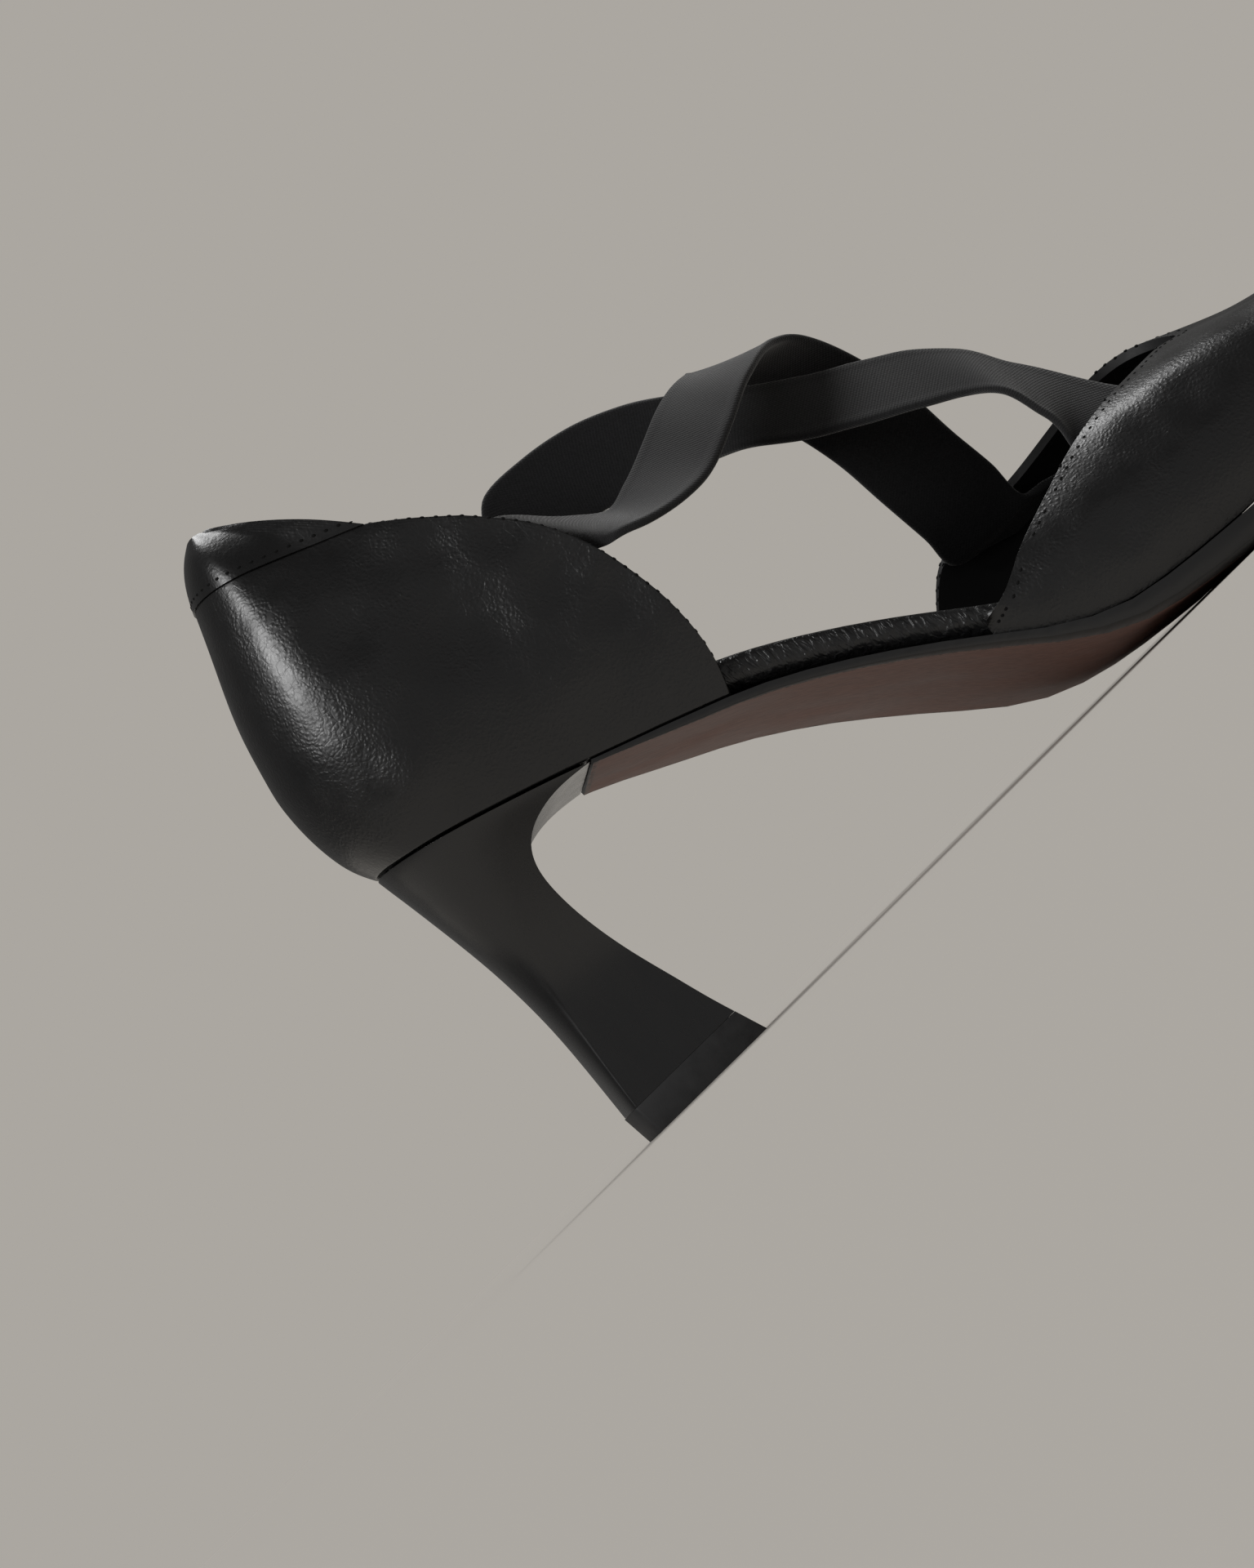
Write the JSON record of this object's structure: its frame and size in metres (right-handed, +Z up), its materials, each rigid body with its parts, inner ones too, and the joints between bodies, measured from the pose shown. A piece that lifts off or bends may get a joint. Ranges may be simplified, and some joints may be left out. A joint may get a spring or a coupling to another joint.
{
  "type": "heeled sandal",
  "caption": "Left two-piece heeled sandal with a closed heel cup and vamp, open waist, crossed elastic straps and a flared block heel.",
  "frame": {"origin": "centre of the heel tip's ground face", "axes": "+X from heel to toe, +Y to the outer side of the foot, +Z up"},
  "size_m": [0.238, 0.0785, 0.1295],
  "materials": {
    "upper_leather": "black pebbled leather, glossy",
    "footbed_leather": "black leather with compression wrinkles at its rim",
    "sole_leather": "reddish brown sole leather, edge inked black",
    "heel_cover": "satin black",
    "top_piece_rubber": "matte dark grey",
    "strap_elastic": "matte black woven elastic"
  },
  "bodies": {
    "root": {"outsole": "sole_leather", "insole": "footbed_leather", "heel": "heel_cover", "heel_top_piece": "top_piece_rubber", "quarter": "upper_leather", "heel_tab": "upper_leather", "vamp": "upper_leather", "crossed_straps": "strap_elastic"}
  },
  "joints": []
}
